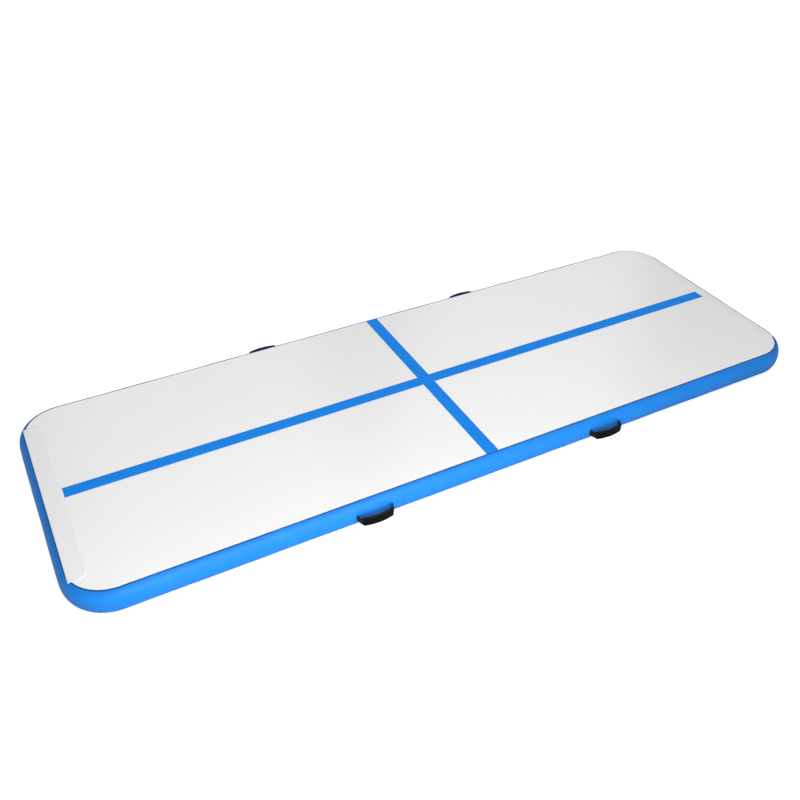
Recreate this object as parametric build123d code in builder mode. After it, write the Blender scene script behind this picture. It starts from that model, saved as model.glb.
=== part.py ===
"""Inflatable air track mat: a drop-stitch panel with a bulging wall, four carry handles and an air valve.

Units are millimetres. The origin is the centre of the underside, on the floor.
+X runs along the mat to the end with the valve, +Y to the back long side and +Z up.
"""

import os

from build123d import *

# Panel: two sheets held apart by threads, with a rounded-rectangle outline
FLAT_LENGTH = 3000.0
FLAT_WIDTH = 1000.0
THICKNESS = 100.0
CORNER_RADIUS = 140.0
SHEET = 1.0
MID_HEIGHT = THICKNESS / 2
EDGE_X = FLAT_LENGTH / 2
EDGE_Y = FLAT_WIDTH / 2
THREAD_RADIUS = 0.8
THREAD_PITCH = 100.0
THREAD_COLUMNS = 29
THREAD_ROWS = 9

# Wall: two bands, one inside the other, that lie under the sheets and bulge between them
BULGE = 28.0
BAND = 0.9
GLUE_LINE = 0.1
OUTER_LAP = 20.0
INNER_LAP = 30.0
BAND_HALF_HEIGHT = MID_HEIGHT - SHEET
INNER_BAND_INSET = BAND + GLUE_LINE

# Markings and strips on the top sheet
STRIPE_WIDTH = 52.0
STRIPE = 0.3
STRIP = 0.8
LEFT_STRIP_WIDTH = 68.0
RIGHT_STRIP_WIDTH = 45.0
STRIP_LENGTH = 832.0
STRIP_MITRE = 20.0
CENTRE_STRIPE_LENGTH = FLAT_LENGTH - LEFT_STRIP_WIDTH - RIGHT_STRIP_WIDTH
CENTRE_STRIPE_X = (LEFT_STRIP_WIDTH - RIGHT_STRIP_WIDTH) / 2

# Pieces glued on the wall
PATCH = 1.0
PATCH_CORNER = 8.0
WALL_JOINT_X = 986.0
WALL_JOINT_LAP = 40.0
WALL_JOINT_HEIGHT = 90.0
VALVE_PATCH_RADIUS = 42.0

# Handles: webbing through a moulded grip, swinging about the line of the wall's widest points
HANDLE_X = 496.0
GRIP_REACH = BULGE + 44.0
GRIP_SAG = 10.0
GRIP_HALF_LENGTH = 62.0
GRIP_THICKNESS = 13.0
GRIP_WIDTH = 32.0
GRIP_ROUNDING = 2.5
GRIP_END_ROUNDING = 6.0
GRIP_ARC_RADIUS = (GRIP_HALF_LENGTH**2 + GRIP_SAG**2) / (2 * GRIP_SAG)
GROOVE_COUNT = 11
GROOVE_STEP = 2.8
GROOVE_WIDTH = 3.6
GROOVE_DEPTH = 1.6
GROOVE_LENGTH = 24.0
WEBBING = 2.0
WEBBING_WIDTH = 25.0
WEBBING_GAP = 0.1
WEBBING_REACH = GRIP_REACH - GRIP_THICKNESS / 2
KNEE = (63.2, WEBBING_REACH - GRIP_SAG)
LEG_FOOT = (69.0, BULGE)
STUB_START = 1.0
STUB_SWING_RADIUS = 13.8
LEG_START = 14.0
TAB_LENGTH = 31.0
TAB_CENTRE = LEG_FOOT[0] - WEBBING / 2 + TAB_LENGTH / 2
ANCHOR_PATCH_START = 62.0
ANCHOR_PATCH_LENGTH = 46.0
ANCHOR_PATCH_HEIGHT = 50.0
ANCHOR_PATCH = 2.9
ANCHOR_SLOT_X = 68.5
ANCHOR_SLOT_WIDTH = 3.6

# Valve body, clamped through the +X end wall; positions along X unless said otherwise
WALL_HOLE_RADIUS = 21.0
GASKET = 1.0
GASKET_INNER_RADIUS = 21.6
GASKET_RADIUS = 28.0
BARREL_RADIUS = 20.5
BARREL_BORE = 16.0
BARREL_END = 1498.0
FLANGE_RADIUS = 29.0
FLANGE_FACE = 1532.5
COLLAR_RADIUS = 17.0
COLLAR_FACE = 1538.0
PORT_RADIUS = 13.0
PORT_DEPTH = 8.0
HUB_FACE = 1507.0
HUB_RADIUS = 6.5
HUB_THICKNESS = 3.0
SPOKE_COUNT = 3
SPOKE_WIDTH = 3.0
SPOKE_LENGTH = BARREL_BORE + 1.0
NUT_RADIUS = 27.0
NUT_FLATS = 8
NUT_BACK = 1512.0

# Valve stem, seal and spring: the stem is pressed inwards, then turned to lock it open
DISC_RADIUS = 19.0
DISC = 2.5
STEM_RADIUS = 2.5
STEM_GAP = 0.06
STEM_HEAD_RADIUS = 6.0
STEM_HEAD = 1.9
LUG_FACE = 1508.8
LUG = 1.5
LUG_SPAN = 8.0
LUG_WIDTH = 2.0
LUG_GAP = 0.2
BUTTON_RADIUS = 7.0
BUTTON_FACE = 1528.5
BUTTON = 4.0
BUTTON_SLOT_WIDTH = 2.0
BUTTON_SLOT_DEPTH = 1.2
SPRING_RADIUS = 5.2
SPRING_WIRE_RADIUS = 0.5
SPRING_TURNS = 5

# Cap, its seal and its tether
CAP_RADIUS = 20.0
CAP_BORE = 17.6
CAP_EDGE = 1534.6
CAP_FACE = 1542.0
CAP_ROUNDING = 1.0
CAP_GROOVE_START = 1536.5
CAP_GROOVE_WIDTH = 2.0
CAP_GROOVE_DEPTH = 0.9
WING_LENGTH = 30.0
WING_WIDTH = 5.0
WING_HEIGHT = 3.5
CAP_SEAL = 1.1
CAP_SEAL_INNER_RADIUS = 13.4
CAP_SEAL_GAP = 0.05
TETHER = 1.4
TETHER_WIDTH = 9.0
TETHER_RING_WIDTH = 2.4
TETHER_HINGE_Y = 29.0
TETHER_LEG_GAP = 0.2
RUNNING_GAP = 0.1

# Across X through the valve's axis: local x is +Y, local y is up, and an offset is a place along X
VALVE_PLANE = Plane(origin=(0, 0, MID_HEIGHT), x_dir=(0, 1, 0), z_dir=(1, 0, 0))
END_WALL = VALVE_PLANE.offset(EDGE_X)


def wall_plane(centre: float, side: int) -> Plane:
    """A plane on the front (side -1) or back (side 1) edge: local y up, local z outwards."""
    return Plane(origin=(centre, side * EDGE_Y, MID_HEIGHT), x_dir=(-side, 0, 0), z_dir=(0, side, 0))


def section_of(wall: Plane) -> Plane:
    """The plane across a wall, with local x outwards and local y up."""
    return Plane(origin=wall.origin, x_dir=wall.z_dir, z_dir=-wall.x_dir)


def plan_of(wall: Plane) -> Plane:
    """The level plane through a wall's mid height, with local y outwards."""
    return Plane(origin=wall.origin, x_dir=wall.x_dir, z_dir=-wall.y_dir)


def bulge_outline(distance: float, mode: Mode = Mode.ADD) -> Ellipse:
    """Section of the wall's bulge at a distance outside the outer band."""
    return Ellipse(BULGE + distance, BAND_HALF_HEIGHT + distance, mode=mode)


def wall_band(inset: float, lap: float) -> BuildPart:
    """A band round the panel: a half-ellipse bulge, two laps under the sheets and the valve's hole."""
    with BuildSketch(Plane.XY.offset(MID_HEIGHT)) as edge:
        RectangleRounded(FLAT_LENGTH, FLAT_WIDTH, CORNER_RADIUS)
    path = edge.sketch.wire()
    outward = (path % 0).cross(Vector(0, 0, 1))
    with BuildPart() as band:
        with BuildSketch(Plane(origin=path @ 0, x_dir=outward, z_dir=path % 0)):
            bulge_outline(-inset)
            bulge_outline(-inset - BAND, mode=Mode.SUBTRACT)
            Rectangle(BULGE, THICKNESS, align=(Align.MAX, Align.CENTER), mode=Mode.SUBTRACT)
            lap_height = BAND_HALF_HEIGHT - inset - BAND / 2
            with Locations((-lap / 2, lap_height), (-lap / 2, -lap_height)):
                Rectangle(lap, BAND)
        sweep(path=path)
        with BuildSketch(END_WALL):
            Circle(WALL_HOLE_RADIUS)
        extrude(amount=2 * BULGE, mode=Mode.SUBTRACT)
    return band


def wall_skin(wall: Plane, footprint: Sketch, near: float, far: float) -> Part:
    """A sheet that follows the wall between two distances from it, cut to a footprint."""
    with BuildPart() as skin:
        with BuildSketch(section_of(wall)):
            bulge_outline(far)
            bulge_outline(near, mode=Mode.SUBTRACT)
        extrude(amount=EDGE_X, both=True)
        with BuildSketch(wall):
            add(footprint)
        extrude(amount=2 * BULGE, mode=Mode.INTERSECT)
    return skin.part


def ring(outer_radius: float, inner_radius: float) -> Sketch:
    """A flat ring."""
    with BuildSketch() as face:
        Circle(outer_radius)
        Circle(inner_radius, mode=Mode.SUBTRACT)
    return face.sketch


def rounded_patch(centre: float, length: float, height: float) -> Sketch:
    """A patch with rounded corners, centred along the wall."""
    with BuildSketch() as face:
        with Locations((centre, 0)):
            RectangleRounded(length, height, PATCH_CORNER)
    return face.sketch


def strip(centre: float, length: float, height: float) -> Sketch:
    """A square-cornered piece, centred along the wall."""
    with BuildSketch() as face:
        with Locations((centre, 0)):
            Rectangle(length, height)
    return face.sketch


# Panel
with BuildPart() as bottom_sheet:
    with BuildSketch():
        RectangleRounded(FLAT_LENGTH, FLAT_WIDTH, CORNER_RADIUS)
    extrude(amount=SHEET)

with BuildPart() as top_sheet:
    with BuildSketch(Plane.XY.offset(THICKNESS)):
        RectangleRounded(FLAT_LENGTH, FLAT_WIDTH, CORNER_RADIUS)
    extrude(amount=-SHEET)

with BuildPart() as drop_stitch_threads:
    with BuildSketch(Plane.XY.offset(SHEET)):
        with GridLocations(THREAD_PITCH, THREAD_PITCH, THREAD_COLUMNS, THREAD_ROWS):
            Circle(THREAD_RADIUS)
    extrude(amount=THICKNESS - 2 * SHEET)

outer_wall_band = wall_band(0, OUTER_LAP)
inner_wall_band = wall_band(INNER_BAND_INSET, INNER_LAP)

# Markings and strips
with BuildPart() as centre_stripe:
    with BuildSketch(Plane.XY.offset(THICKNESS)):
        with Locations((CENTRE_STRIPE_X, 0)):
            Rectangle(CENTRE_STRIPE_LENGTH, STRIPE_WIDTH)
    extrude(amount=STRIPE)

with BuildPart() as cross_stripe:
    with BuildSketch(Plane.XY.offset(THICKNESS)):
        Rectangle(STRIPE_WIDTH, FLAT_WIDTH)
        Rectangle(STRIPE_WIDTH, STRIPE_WIDTH, mode=Mode.SUBTRACT)
    extrude(amount=STRIPE)


def end_strip(end: int, width: float) -> BuildPart:
    """A strip along one end of the top sheet (1 at +X, -1 at -X), with its inner corners cut off."""
    with BuildPart() as cover:
        with BuildSketch(Plane.XY.offset(THICKNESS)) as face:
            with Locations((end * (EDGE_X - width / 2), 0)):
                Rectangle(width, STRIP_LENGTH)
            inner_corners = face.vertices().sort_by(Axis.X, reverse=end < 0)[:2]
            chamfer(inner_corners, length=STRIP_MITRE)
        extrude(amount=STRIP)
    return cover


end_strip_left = end_strip(-1, LEFT_STRIP_WIDTH)
end_strip_right = end_strip(1, RIGHT_STRIP_WIDTH)

# The outer band's end, glued over its start on the front wall
with BuildPart() as wall_joint_overlap:
    lap_face = strip(WALL_JOINT_X - WALL_JOINT_LAP / 2, WALL_JOINT_LAP, WALL_JOINT_HEIGHT)
    add(wall_skin(wall_plane(0, -1), lap_face, GLUE_LINE, GLUE_LINE + BAND))

# Valve, from the wall outwards
GASKET_SEAT = 2 * GLUE_LINE + PATCH
FLANGE_SEAT = GASKET_SEAT + GASKET + GLUE_LINE

with BuildPart() as valve_patch:
    add(wall_skin(END_WALL, ring(VALVE_PATCH_RADIUS, WALL_HOLE_RADIUS), GLUE_LINE, GLUE_LINE + PATCH))

with BuildPart() as valve_gasket:
    add(wall_skin(END_WALL, ring(GASKET_RADIUS, GASKET_INNER_RADIUS), GASKET_SEAT, GASKET_SEAT + GASKET))

with BuildPart() as valve_body:
    with BuildSketch(END_WALL):
        Circle(FLANGE_RADIUS)
    extrude(amount=FLANGE_FACE - EDGE_X)
    with BuildSketch(section_of(END_WALL)):
        bulge_outline(FLANGE_SEAT)
    extrude(amount=FLANGE_RADIUS, both=True, mode=Mode.SUBTRACT)
    with BuildSketch(VALVE_PLANE.offset(BARREL_END)):
        Circle(BARREL_RADIUS)
    extrude(amount=FLANGE_FACE - BARREL_END)
    with BuildSketch(VALVE_PLANE.offset(FLANGE_FACE)):
        Circle(COLLAR_RADIUS)
    extrude(amount=COLLAR_FACE - FLANGE_FACE)
    with BuildSketch(VALVE_PLANE.offset(BARREL_END)):
        Circle(BARREL_BORE)
    extrude(amount=COLLAR_FACE - PORT_DEPTH - BARREL_END, mode=Mode.SUBTRACT)
    with BuildSketch(VALVE_PLANE.offset(COLLAR_FACE)):
        Circle(PORT_RADIUS)
    extrude(amount=-PORT_DEPTH, mode=Mode.SUBTRACT)
    with BuildSketch(VALVE_PLANE.offset(HUB_FACE)):
        Circle(HUB_RADIUS)
        with PolarLocations(0, SPOKE_COUNT):
            Rectangle(SPOKE_LENGTH, SPOKE_WIDTH, align=(Align.MIN, Align.CENTER))
        Circle(STEM_RADIUS + STEM_GAP, mode=Mode.SUBTRACT)
        Rectangle(LUG_SPAN + 2 * LUG_GAP, LUG_WIDTH + 2 * LUG_GAP, mode=Mode.SUBTRACT)
    extrude(amount=-HUB_THICKNESS)

with BuildPart() as valve_nut:
    with BuildSketch(VALVE_PLANE.offset(NUT_BACK)):
        RegularPolygon(NUT_RADIUS, NUT_FLATS)
        Circle(BARREL_RADIUS + RUNNING_GAP, mode=Mode.SUBTRACT)
    extrude(amount=BULGE)
    with BuildSketch(section_of(END_WALL)):
        bulge_outline(-INNER_BAND_INSET - BAND - GLUE_LINE)
    extrude(amount=NUT_RADIUS, both=True, mode=Mode.INTERSECT)

DISC_FACE = BARREL_END - RUNNING_GAP

with BuildPart() as valve_disc:
    with BuildSketch(VALVE_PLANE.offset(DISC_FACE)):
        Circle(DISC_RADIUS)
        Circle(STEM_RADIUS + STEM_GAP, mode=Mode.SUBTRACT)
    extrude(amount=-DISC)

STEM_HEAD_FACE = DISC_FACE - DISC - RUNNING_GAP

with BuildPart() as valve_stem:
    with BuildSketch(VALVE_PLANE.offset(STEM_HEAD_FACE)):
        Circle(STEM_HEAD_RADIUS)
    extrude(amount=-STEM_HEAD)
    with BuildSketch(VALVE_PLANE.offset(STEM_HEAD_FACE)):
        Circle(STEM_RADIUS)
    extrude(amount=BUTTON_FACE - STEM_HEAD_FACE)
    with BuildSketch(VALVE_PLANE.offset(LUG_FACE)):
        Rectangle(LUG_SPAN, LUG_WIDTH)
    extrude(amount=-LUG)
    with BuildSketch(VALVE_PLANE.offset(BUTTON_FACE)):
        Circle(BUTTON_RADIUS)
    extrude(amount=-BUTTON)
    with BuildSketch(VALVE_PLANE.offset(BUTTON_FACE)):
        Rectangle(2 * BUTTON_RADIUS, BUTTON_SLOT_WIDTH)
    extrude(amount=-BUTTON_SLOT_DEPTH, mode=Mode.SUBTRACT)

SPRING_START = HUB_FACE + SPRING_WIRE_RADIUS + RUNNING_GAP
SPRING_LENGTH = BUTTON_FACE - BUTTON - SPRING_WIRE_RADIUS - RUNNING_GAP - SPRING_START

with BuildPart() as valve_spring:
    with BuildLine() as coil:
        Helix(
            SPRING_LENGTH / SPRING_TURNS,
            SPRING_LENGTH,
            SPRING_RADIUS,
            center=(SPRING_START, 0, MID_HEIGHT),
            direction=(1, 0, 0),
        )
    with BuildSketch(Plane(origin=coil.line @ 0, z_dir=coil.line % 0)):
        Circle(SPRING_WIRE_RADIUS)
    sweep(path=coil.line, is_frenet=True)

# Cap, which turns in the tether's ring
with BuildPart() as valve_cap:
    with BuildSketch(VALVE_PLANE.offset(CAP_EDGE)):
        Circle(CAP_RADIUS)
    extrude(amount=CAP_FACE - CAP_EDGE)
    fillet(valve_cap.edges().group_by(Axis.X)[-1], CAP_ROUNDING)
    with BuildSketch(VALVE_PLANE.offset(CAP_EDGE)):
        Circle(CAP_BORE)
    extrude(amount=COLLAR_FACE + CAP_SEAL + 2 * CAP_SEAL_GAP - CAP_EDGE, mode=Mode.SUBTRACT)
    with BuildSketch(VALVE_PLANE.offset(CAP_GROOVE_START)):
        add(ring(2 * CAP_RADIUS, CAP_RADIUS - CAP_GROOVE_DEPTH))
    extrude(amount=CAP_GROOVE_WIDTH, mode=Mode.SUBTRACT)
    with BuildSketch(VALVE_PLANE.offset(CAP_FACE)):
        SlotOverall(WING_LENGTH, WING_WIDTH)
    extrude(amount=WING_HEIGHT)

with BuildPart() as cap_seal:
    with BuildSketch(VALVE_PLANE.offset(COLLAR_FACE + CAP_SEAL_GAP)):
        add(ring(COLLAR_RADIUS, CAP_SEAL_INNER_RADIUS))
    extrude(amount=CAP_SEAL)

ANCHOR_RING_FACE = FLANGE_FACE + RUNNING_GAP + TETHER
ANCHOR_RING_BORE = COLLAR_RADIUS + RUNNING_GAP

with BuildPart() as tether_anchor:
    with BuildSketch(VALVE_PLANE.offset(ANCHOR_RING_FACE)):
        with Locations((ANCHOR_RING_BORE, 0)):
            tongue = TETHER_HINGE_Y - ANCHOR_RING_BORE
            Rectangle(tongue, TETHER_WIDTH, align=(Align.MIN, Align.CENTER))
        Circle(ANCHOR_RING_BORE + TETHER_RING_WIDTH)
        Circle(ANCHOR_RING_BORE, mode=Mode.SUBTRACT)
    extrude(amount=-TETHER)

TETHER_RING_BORE = CAP_RADIUS - CAP_GROOVE_DEPTH + RUNNING_GAP
TETHER_UNDERSIDE = CAP_GROOVE_START + (CAP_GROOVE_WIDTH - TETHER) / 2

with BuildPart() as cap_tether:
    with BuildSketch(VALVE_PLANE.offset(TETHER_UNDERSIDE)):
        with Locations((TETHER_RING_BORE, 0)):
            tongue = TETHER_HINGE_Y - TETHER_RING_BORE
            Rectangle(tongue, TETHER_WIDTH, align=(Align.MIN, Align.CENTER))
        Circle(TETHER_RING_BORE + TETHER_RING_WIDTH)
        Circle(TETHER_RING_BORE, mode=Mode.SUBTRACT)
    extrude(amount=TETHER)
    with BuildSketch(VALVE_PLANE.offset(TETHER_UNDERSIDE)):
        with Locations((TETHER_HINGE_Y, 0)):
            Rectangle(TETHER, TETHER_WIDTH, align=(Align.MAX, Align.CENTER))
    extrude(amount=ANCHOR_RING_FACE + TETHER_LEG_GAP - TETHER_UNDERSIDE)


# Handles
def arch(reach: float) -> ThreePointArc:
    """The grip's shallow arch in plan, at a distance from the panel's edge."""
    ends = reach - GRIP_SAG
    return ThreePointArc((-GRIP_HALF_LENGTH, ends), (0, reach), (GRIP_HALF_LENGTH, ends))


def arched_band(reach: float, thickness: float) -> Sketch:
    """A band along the arch, with its outer face at the distance given."""
    with BuildSketch() as band:
        with BuildLine():
            outer = arch(reach)
            inner = arch(reach - thickness)
            Line(outer @ 0, inner @ 0)
            Line(outer @ 1, inner @ 1)
        make_face()
    return band.sketch


def handle(centre: float, side: int) -> dict[str, BuildPart]:
    """The four pieces of one handle on the front (side -1) or back (side 1) wall."""
    wall = wall_plane(centre, side)
    plan = plan_of(wall)

    with BuildPart() as grip:
        with BuildSketch(plan) as footprint:
            add(arched_band(GRIP_REACH, GRIP_THICKNESS))
            fillet(footprint.vertices().sort_by(Axis.Y)[-2:], GRIP_END_ROUNDING)
            fillet(footprint.vertices().sort_by(Axis.Y)[:2], GRIP_ROUNDING)
        extrude(amount=GRIP_WIDTH / 2, both=True)
        rims = grip.faces().sort_by(Axis.Z)
        fillet(rims[0].edges() + rims[-1].edges(), GRIP_ROUNDING)
        slot_reach = WEBBING_REACH + WEBBING / 2 + WEBBING_GAP
        with BuildSketch(plan):
            add(arched_band(slot_reach, WEBBING + 2 * WEBBING_GAP))
        extrude(amount=WEBBING_WIDTH / 2 + WEBBING_GAP, both=True, mode=Mode.SUBTRACT)
        with BuildSketch(plan):
            with Locations((0, GRIP_REACH - GRIP_ARC_RADIUS)):
                fan = (GROOVE_COUNT - 1) * GROOVE_STEP
                with PolarLocations(
                    GRIP_ARC_RADIUS, GROOVE_COUNT, start_angle=90 - fan / 2, angular_range=fan, endpoint=True
                ):
                    Rectangle(2 * GROOVE_DEPTH, GROOVE_WIDTH)
        extrude(amount=GROOVE_LENGTH / 2, both=True, mode=Mode.SUBTRACT)

    with BuildPart() as strap:
        with BuildSketch(plan):
            with BuildLine():
                crown = arch(WEBBING_REACH)
                for end, direction in ((crown @ 0, -1), (crown @ 1, 1)):
                    Polyline(end, (direction * KNEE[0], KNEE[1]), (direction * LEG_FOOT[0], LEG_FOOT[1]))
            trace(line_width=WEBBING)
            Rectangle(2 * FLAT_WIDTH, 2 * (BULGE + LEG_START), mode=Mode.SUBTRACT)
        extrude(amount=WEBBING_WIDTH / 2, both=True)

    with BuildPart() as anchor_tabs:
        with BuildSketch(plan):
            with BuildLine():
                for direction in (-1, 1):
                    Line((direction * KNEE[0], KNEE[1]), (direction * LEG_FOOT[0], LEG_FOOT[1]))
            trace(line_width=WEBBING)
            Rectangle(2 * FLAT_WIDTH, 2 * (BULGE + STUB_START), mode=Mode.SUBTRACT)
        extrude(amount=WEBBING_WIDTH / 2, both=True)
        with BuildSketch(section_of(wall)):
            with Locations((BULGE, 0)):
                Circle(STUB_SWING_RADIUS)
        extrude(amount=2 * GRIP_HALF_LENGTH, both=True, mode=Mode.INTERSECT)
        for direction in (-1, 1):
            tab = strip(direction * TAB_CENTRE, TAB_LENGTH, WEBBING_WIDTH)
            add(wall_skin(wall, tab, GLUE_LINE, GLUE_LINE + WEBBING))

    with BuildPart() as anchor_patches:
        pocket_height = WEBBING_WIDTH + 2 * WEBBING_GAP
        for direction in (-1, 1):
            patch_centre = direction * (ANCHOR_PATCH_START + ANCHOR_PATCH_LENGTH / 2)
            patch = rounded_patch(patch_centre, ANCHOR_PATCH_LENGTH, ANCHOR_PATCH_HEIGHT)
            add(wall_skin(wall, patch, GLUE_LINE, GLUE_LINE + ANCHOR_PATCH))
            pocket = strip(direction * TAB_CENTRE, TAB_LENGTH + 2 * WEBBING_GAP, pocket_height)
            add(wall_skin(wall, pocket, 0, GLUE_LINE + WEBBING + WEBBING_GAP), mode=Mode.SUBTRACT)
            slot = strip(direction * ANCHOR_SLOT_X, ANCHOR_SLOT_WIDTH, pocket_height)
            add(wall_skin(wall, slot, 0, 2 * ANCHOR_PATCH), mode=Mode.SUBTRACT)

    return {"grip": grip, "strap": strap, "anchor_tabs": anchor_tabs, "anchor_patches": anchor_patches}


pieces = {
    "bottom_sheet": bottom_sheet,
    "top_sheet": top_sheet,
    "drop_stitch_threads": drop_stitch_threads,
    "outer_wall_band": outer_wall_band,
    "inner_wall_band": inner_wall_band,
    "centre_stripe": centre_stripe,
    "cross_stripe": cross_stripe,
    "end_strip_left": end_strip_left,
    "end_strip_right": end_strip_right,
    "wall_joint_overlap": wall_joint_overlap,
    "valve_patch": valve_patch,
    "valve_gasket": valve_gasket,
    "valve_body": valve_body,
    "valve_nut": valve_nut,
    "valve_disc": valve_disc,
    "valve_stem": valve_stem,
    "valve_spring": valve_spring,
    "valve_cap": valve_cap,
    "cap_seal": cap_seal,
    "tether_anchor": tether_anchor,
    "cap_tether": cap_tether,
}
for row, side in (("front", -1), ("back", 1)):
    for place, centre in (("left", -HANDLE_X), ("right", HANDLE_X)):
        for piece_name, piece in handle(centre, side).items():
            pieces[f"{row}_{place}_{piece_name}"] = piece

os.makedirs("parts", exist_ok=True)
for name, piece in pieces.items():
    piece.part.label = name
    export_step(piece.part, f"parts/{name}.step")
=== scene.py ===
"""Looks of an inflatable air track mat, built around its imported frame. Lengths are in metres."""
import math

import bmesh
import bpy
import numpy as np
from mathutils import Matrix, Vector


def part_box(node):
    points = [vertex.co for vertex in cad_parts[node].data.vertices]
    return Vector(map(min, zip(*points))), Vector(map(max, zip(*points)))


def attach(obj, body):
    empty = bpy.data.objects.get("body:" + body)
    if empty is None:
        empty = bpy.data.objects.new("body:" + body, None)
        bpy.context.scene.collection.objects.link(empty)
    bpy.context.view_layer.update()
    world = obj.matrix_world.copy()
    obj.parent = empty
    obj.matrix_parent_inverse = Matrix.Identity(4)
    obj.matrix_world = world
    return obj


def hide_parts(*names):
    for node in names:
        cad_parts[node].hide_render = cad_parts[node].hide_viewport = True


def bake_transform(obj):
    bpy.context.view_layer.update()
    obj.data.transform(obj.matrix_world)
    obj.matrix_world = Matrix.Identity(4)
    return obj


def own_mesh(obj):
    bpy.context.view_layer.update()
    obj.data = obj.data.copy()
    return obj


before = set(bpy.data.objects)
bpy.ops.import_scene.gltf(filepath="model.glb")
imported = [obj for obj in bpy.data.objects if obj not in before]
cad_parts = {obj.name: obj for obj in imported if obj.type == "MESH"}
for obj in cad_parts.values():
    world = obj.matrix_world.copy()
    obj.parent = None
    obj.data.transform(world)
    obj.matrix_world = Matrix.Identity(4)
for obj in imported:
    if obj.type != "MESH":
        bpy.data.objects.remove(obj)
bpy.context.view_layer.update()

MM = 0.001
ROOT = "root"

# Panel and wall, as the frame has them
sheet_low, sheet_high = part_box("top_sheet")
wall_low, wall_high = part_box("outer_wall_band")
HALF_LENGTH = sheet_high.x
HALF_WIDTH = sheet_high.y
TOP = sheet_high.z
SHEET = TOP - sheet_low.z
MID = TOP / 2
BULGE = wall_high.x - HALF_LENGTH
WALL_HALF_HEIGHT = (wall_high.z - wall_low.z) / 2
CORNER_RADIUS = 140 * MM
STRAIGHT_X = HALF_LENGTH - CORNER_RADIUS
STRAIGHT_Y = HALF_WIDTH - CORNER_RADIUS
QUARTER_TURN = CORNER_RADIUS * math.pi / 2
PERIMETER = 4 * (STRAIGHT_X + STRAIGHT_Y + QUARTER_TURN)
WALL_THICKNESS = 0.9 * MM
WALL_COLUMNS = 780
WALL_ROWS = 24

# Hole in the wall for the valve
PORT_RADIUS = 21 * MM

# Steps round a full circle, and the distance within which points are welded into one
ROUND_STEPS = 96
WELD = 0.001 * MM

# Soft relief of the inflated sheets, and how far past its edge the sheet's own step fades out
RELIEF = 0.22 * MM
STEP_FADE = 2 * MM

# Glued pieces: how far they sink into the wall, so that no gap shows, and how thick their outer rim is
GLUE_SINK = 0.05 * MM
RIM_SHARE = 0.45

# Cloth simulation of the wall, and how much of its puckers is kept
SIMULATION_FRAMES = 16
CLOTH = {
    "quality": 6,
    "mass": 0.2,
    "tension_stiffness": 60,
    "compression_stiffness": 60,
    "shear_stiffness": 30,
    "bending_stiffness": 4,
    "use_pressure": True,
    "uniform_pressure_force": 3.0,
    "shrink_min": -0.004,
}
PUCKER_SMOOTHING = 3
PUCKER_SHARE = 0.4
PUCKER_LIMIT = 0.5 * MM
VALVE_CALM = 60 * MM

# Painted shade: a dark line on the wall along the sheet's edge, by height
SEAM_FADE_START = 84 * MM
SEAM_LINE_START = 97.4 * MM
SEAM_LINE_END = 98.9 * MM
SEAM_LINE_DEPTH = 0.55
SEAM_FADE_DEPTH = 0.22

# Camera, floor and lights
CAMERA_PLACE = Vector((-1.440, -2.488, 2.226))
CAMERA_AZIMUTH = math.radians(27.97)
CAMERA_DROP = math.radians(37.85)
CAMERA_ROLL = math.radians(0.36)
LENS = 39.69
SENSOR = 36.0
FLOOR_HEIGHT = -0.5 * MM
FLOOR_REACH = 40.0
FLOOR_GLOW = 0.75
DIM_BELOW = 0.22
BRIGHT_ABOVE = 0.66
HORIZON_STRENGTH = 0.06
WORLD_STRENGTH = 0.75
OVERHEAD_PLACE = (0.3, 0.2, 4.5)
OVERHEAD_TARGET = (0.3, 0.2, 0)
OVERHEAD_SIZE = (7, 5)
OVERHEAD_POWER = 10
BEHIND_DISTANCE = 8
BEHIND_HEIGHT = 5.2
BEHIND_LEFT = -2.3
BEHIND_LEFT_SIZE = (3.3, 6.5)
BEHIND_LEFT_POWER = 70
BEHIND_RIGHT = 1.25
BEHIND_RIGHT_SIZE = (2.7, 6.5)
BEHIND_RIGHT_POWER = 64
FRONT_PLACE = (-0.7, -2.15, 0.75)
FRONT_TARGET = (-0.7, -0.5, 0.05)
FRONT_SIZE = (2.5, 1.3)
FRONT_POWER = 46

# Every material: scale of its fine blotches, share of the wide ones, and how far its roughness swings
FINE_BLOTCH = 14
WIDE_SHARE = 0.7
ROUGHNESS_SWING = 0.15


# ---------------------------------------------------------------- materials
def node(tree, kind, **inputs):
    """A shader node with some of its inputs set; underscores stand for spaces in their names."""
    made = tree.nodes.new(kind)
    for name, value in inputs.items():
        made.inputs[name.replace("_", " ")].default_value = value
    return made


def noise(tree, place, scale, detail=3.0, roughness=0.55):
    """Grey noise with the scale given in features per metre."""
    made = node(tree, "ShaderNodeTexNoise", Scale=scale, Detail=detail, Roughness=roughness)
    tree.links.new(place, made.inputs["Vector"])
    return made.outputs["Fac"]


def threads(tree, place, direction, pitch):
    """Parallel threads across one axis, with their pitch in metres."""
    made = tree.nodes.new("ShaderNodeTexWave")
    made.bands_direction = direction
    made.inputs["Scale"].default_value = math.pi / (10 * pitch)
    tree.links.new(place, made.inputs["Vector"])
    return made.outputs["Fac"]


def join(tree, operation, first, second):
    """The two values put together by a maths node."""
    made = tree.nodes.new("ShaderNodeMath")
    made.operation = operation
    for socket, value in zip(made.inputs, (first, second)):
        if isinstance(value, float):
            socket.default_value = value
        else:
            tree.links.new(value, socket)
    return made.outputs[0]


def remap(tree, value, low, high):
    """A 0 to 1 value stretched to a new range."""
    made = node(tree, "ShaderNodeMapRange", To_Min=low, To_Max=high)
    tree.links.new(value, made.inputs["Value"])
    return made.outputs["Result"]


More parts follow.
